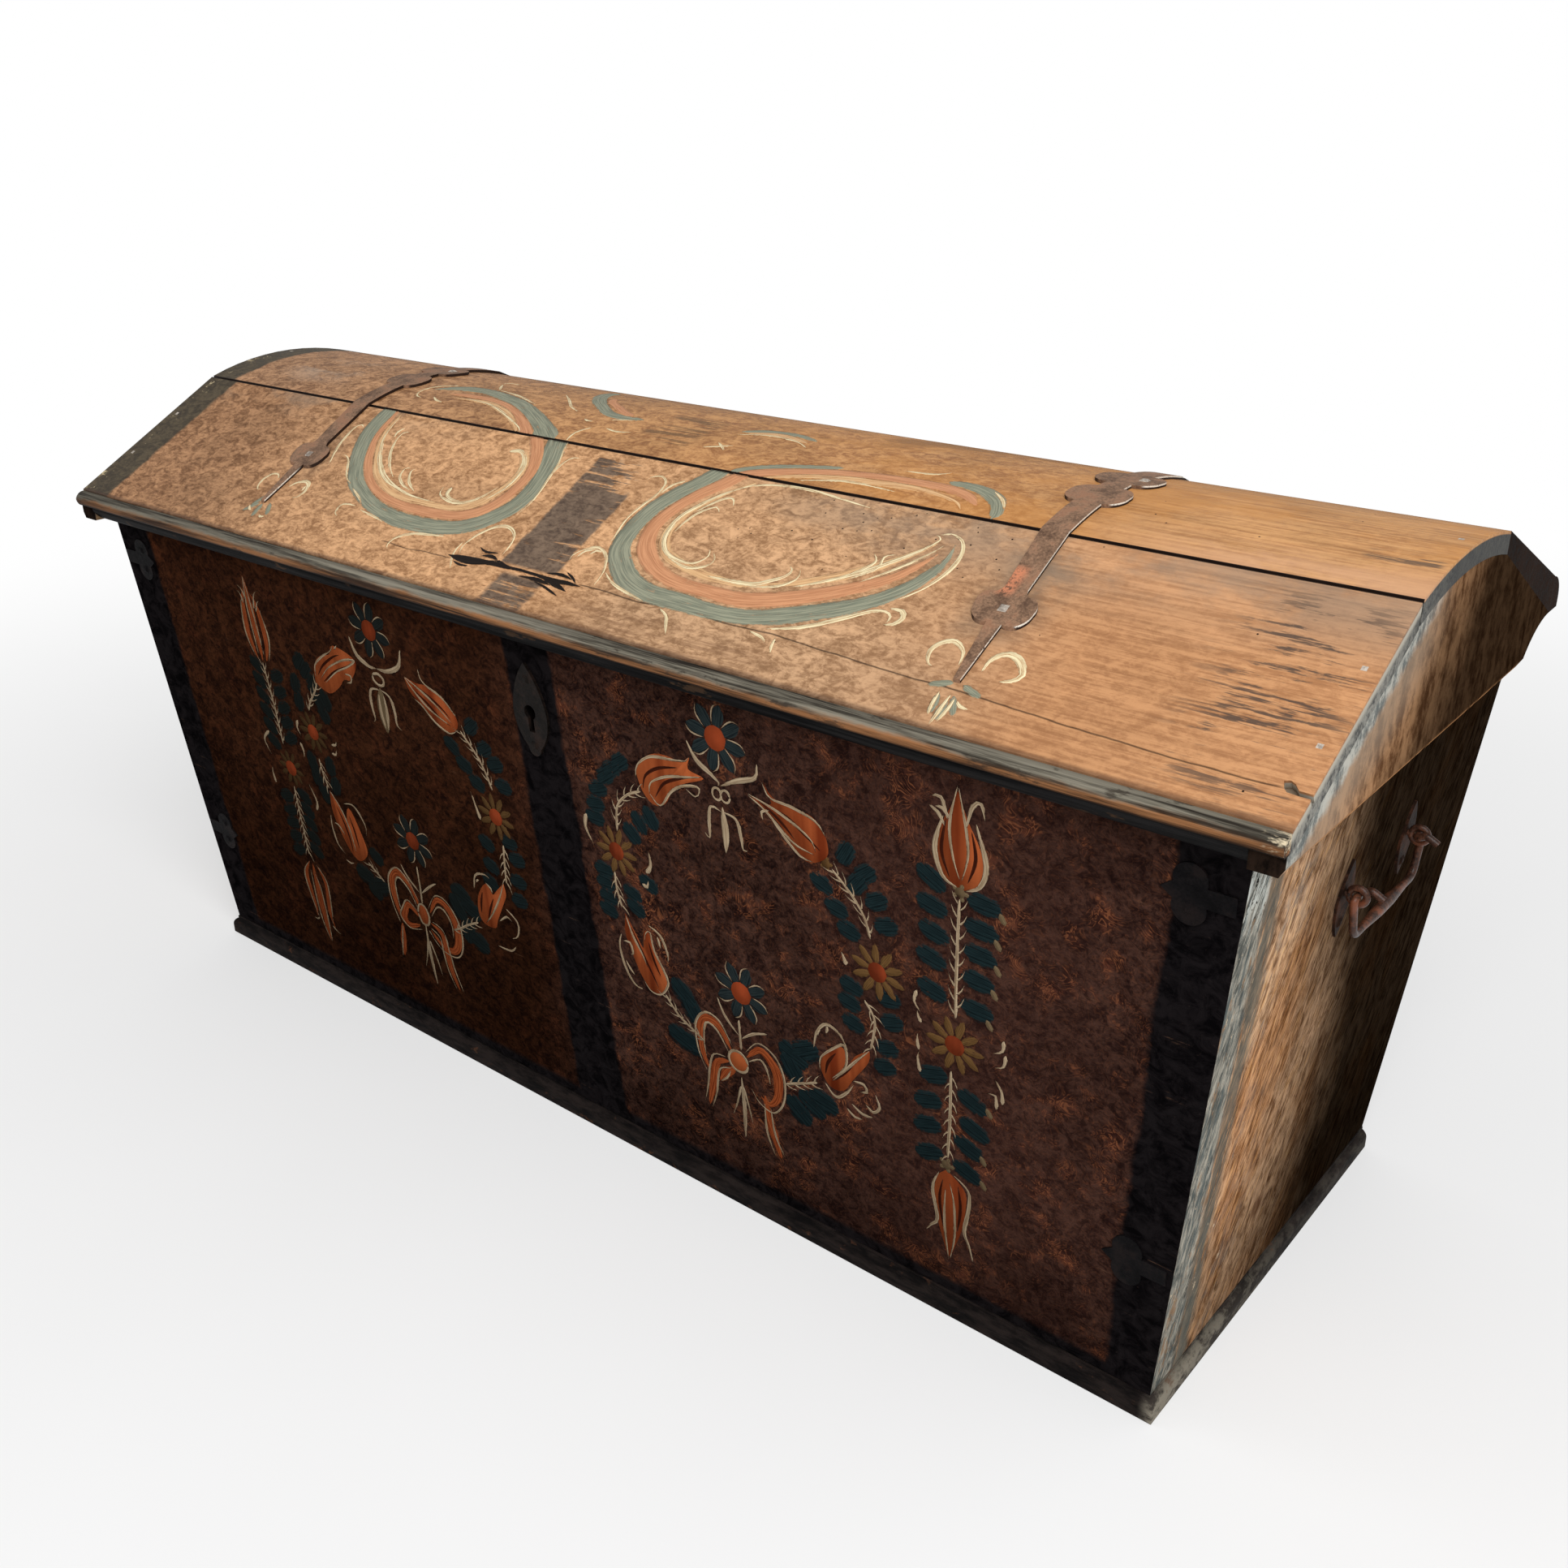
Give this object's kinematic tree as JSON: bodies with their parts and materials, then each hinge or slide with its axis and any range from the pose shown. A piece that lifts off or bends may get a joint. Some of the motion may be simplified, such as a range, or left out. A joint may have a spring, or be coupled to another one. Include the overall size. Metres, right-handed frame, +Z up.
{
  "type": "bridal trunk",
  "caption": "Painted domed wooden trunk with a hinged lid, forged iron strap hinges, a lock and swinging side handles.",
  "frame": {"origin": "on the floor, under the middle of the whole trunk's bounding box", "axes": "+X to the right across the front as a viewer faces it, +Y from the front to the back, +Z up"},
  "size_m": [1.22, 0.4924, 0.5929],
  "materials": {
    "panel_paint": "worn dark red-brown painted graining",
    "side_paint": "worn orange-brown painted graining",
    "lid_paint": "worn light brown painted graining",
    "bead_paint": "worn grey-green paint over pine",
    "moulding_paint": "worn black paint over pine",
    "raw_pine": "bare aged pine",
    "wrought_iron": "dark rusty forged iron"
  },
  "bodies": {
    "case": {"case_front": "panel_paint", "case_back": "raw_pine", "case_side_left": "side_paint", "case_side_right": "side_paint", "bottom_board_front": "raw_pine", "bottom_board_rear": "raw_pine", "base_moulding_front": "moulding_paint", "base_moulding_left": "moulding_paint", "base_moulding_right": "moulding_paint", "base_moulding_right_rear": "moulding_paint", "till_side": "raw_pine", "till_bottom": "raw_pine", "escutcheon": "wrought_iron", "escutcheon_nails": "wrought_iron", "lock_plate": "wrought_iron", "lock_guides": "wrought_iron", "lock_spring": "wrought_iron", "hinge_leaf_left": "wrought_iron", "hinge_leaf_right": "wrought_iron", "hinge_pin_left": "wrought_iron", "hinge_pin_right": "wrought_iron", "hinge_leaf_nails_left": "wrought_iron", "hinge_leaf_nails_right": "wrought_iron", "handle_eyes_left": "wrought_iron", "handle_eyes_right": "wrought_iron", "handle_plates_left": "wrought_iron", "handle_plates_right": "wrought_iron", "handle_plate_nails_left": "wrought_iron", "handle_plate_nails_right": "wrought_iron", "corner_iron_upper_left": "wrought_iron", "corner_iron_upper_right": "wrought_iron", "corner_iron_lower_left": "wrought_iron", "corner_iron_lower_right": "wrought_iron", "corner_iron_nails": "wrought_iron"},
    "lid": {"lid_front_board": "lid_paint", "lid_crown_board": "lid_paint", "lid_back_board": "lid_paint", "lid_gable_left": "side_paint", "lid_gable_right": "side_paint", "lid_bead": "bead_paint", "lid_lip": "moulding_paint", "hinge_strap_left": "wrought_iron", "hinge_strap_right": "wrought_iron", "hinge_strap_nails_left": "wrought_iron", "hinge_strap_nails_right": "wrought_iron", "lid_brads": "wrought_iron", "lid_hasp": "wrought_iron"},
    "bolt": {"lock_bolt": "wrought_iron"},
    "handle_left": {"handle_bail_left": "wrought_iron"},
    "handle_right": {"handle_bail_right": "wrought_iron"}
  },
  "joints": [
    {"name": "lid_hinge", "type": "hinge", "parent": "case", "child": "lid", "pos_m": [0, 0.2412, 0.4907], "axis": [-1, 0, 0], "range_deg": [0, 100]},
    {"name": "bolt_slide", "type": "slide", "parent": "case", "child": "bolt", "axis": [1, 0, 0], "range_m": [0, 0.02]},
    {"name": "handle_left_swing", "type": "hinge", "parent": "case", "child": "handle_left", "pos_m": [-0.58712, 0.0168, 0.3595], "axis": [0, 1, 0], "range_deg": [0, 95]},
    {"name": "handle_right_swing", "type": "hinge", "parent": "case", "child": "handle_right", "pos_m": [0.58712, 0.0168, 0.3595], "axis": [0, -1, 0], "range_deg": [0, 95]}
  ]
}
